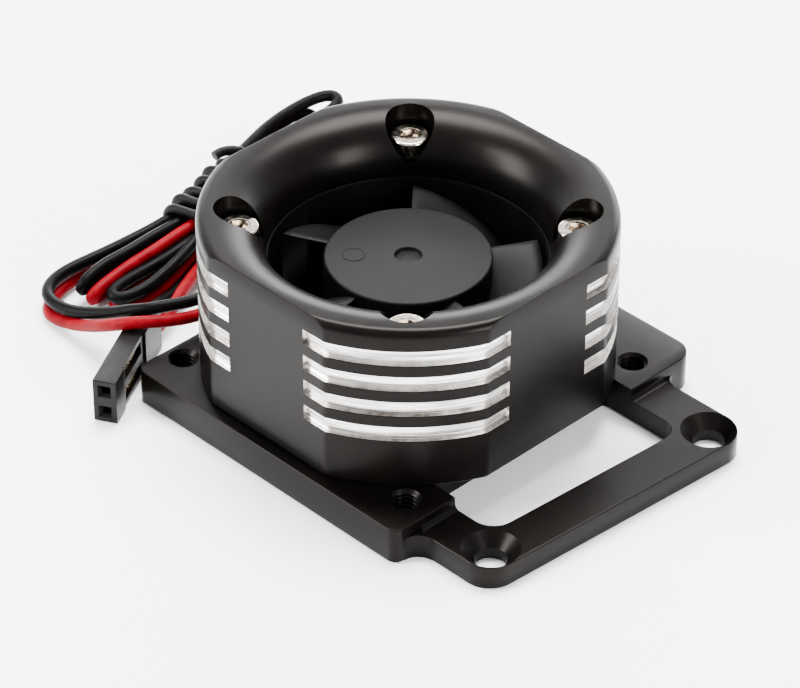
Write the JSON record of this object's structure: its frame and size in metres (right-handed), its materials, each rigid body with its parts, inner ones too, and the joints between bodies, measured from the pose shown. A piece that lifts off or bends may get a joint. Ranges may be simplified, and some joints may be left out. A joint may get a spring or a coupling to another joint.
{
  "type": "hotend fan assembly",
  "caption": "Small axial fan in a grooved black machined shroud with a bell-mouth intake, clamped to a flange plate with a windowed mounting arm, its red and black leads folded and tied.",
  "frame": {"origin": "middle of the rigid body's footprint, on the plane of the plate's underside; the leads, hank and plug don't count", "axes": "+X from the lead side to the mounting arm's cross bar, along the longest side; +Z along the fan's axis, out of the intake; +Y to the plate's wider margin"},
  "size_m": [0.0747, 0.0563, 0.0227],
  "materials": {
    "anodised_aluminium": "black anodised, satin, with bare bright grooves on the housing",
    "bright_steel": "bright nickel-plated steel",
    "fan_plastic": "matt black plastic",
    "impeller_plastic": "matt charcoal plastic",
    "motor_steel": "plain steel",
    "ferrite": "bonded ferrite, dark grey",
    "copper": "enamelled copper wire",
    "board": "green solder mask",
    "chip": "moulded black",
    "label": "blank matt foil",
    "wire_red": "red wire insulation, slightly glossy",
    "wire_black": "black wire insulation, slightly glossy",
    "tie_plastic": "black plastic-covered wire",
    "plug_plastic": "black moulded plastic",
    "contact_brass": "tin-brass contact"
  },
  "bodies": {
    "fan_mount": {"base_plate": "anodised_aluminium", "fan_housing": "anodised_aluminium", "clamp_screw_front_left": "bright_steel", "clamp_screw_front_right": "bright_steel", "clamp_screw_back_left": "bright_steel", "clamp_screw_back_right": "bright_steel", "fan_frame": "fan_plastic", "bearing_lower": "motor_steel", "bearing_upper": "motor_steel", "preload_spring": "motor_steel", "stator_core": "motor_steel", "stator_coil_1": "copper", "stator_coil_2": "copper", "stator_coil_3": "copper", "stator_coil_4": "copper", "circuit_board": "board", "driver_chip": "chip", "base_label": "label", "lead_red_fan": "wire_red", "lead_black_fan": "wire_black", "lead_red_plug": "wire_red", "lead_black_plug": "wire_black", "wire_hank": "wire_black", "twist_tie": "tie_plastic", "connector_housing": "plug_plastic", "crimp_contact_lower": "contact_brass", "crimp_contact_upper": "contact_brass"},
    "rotor": {"impeller": "impeller_plastic", "rotor_yoke": "motor_steel", "rotor_magnet": "ferrite", "rotor_shaft": "motor_steel", "shaft_clip": "motor_steel"}
  },
  "joints": [
    {"name": "rotor_spin", "type": "hinge", "parent": "fan_mount", "child": "rotor", "pos_m": [-0.00588, -0.00081, 0.0171], "axis": [0, 0, 1], "continuous": true}
  ]
}
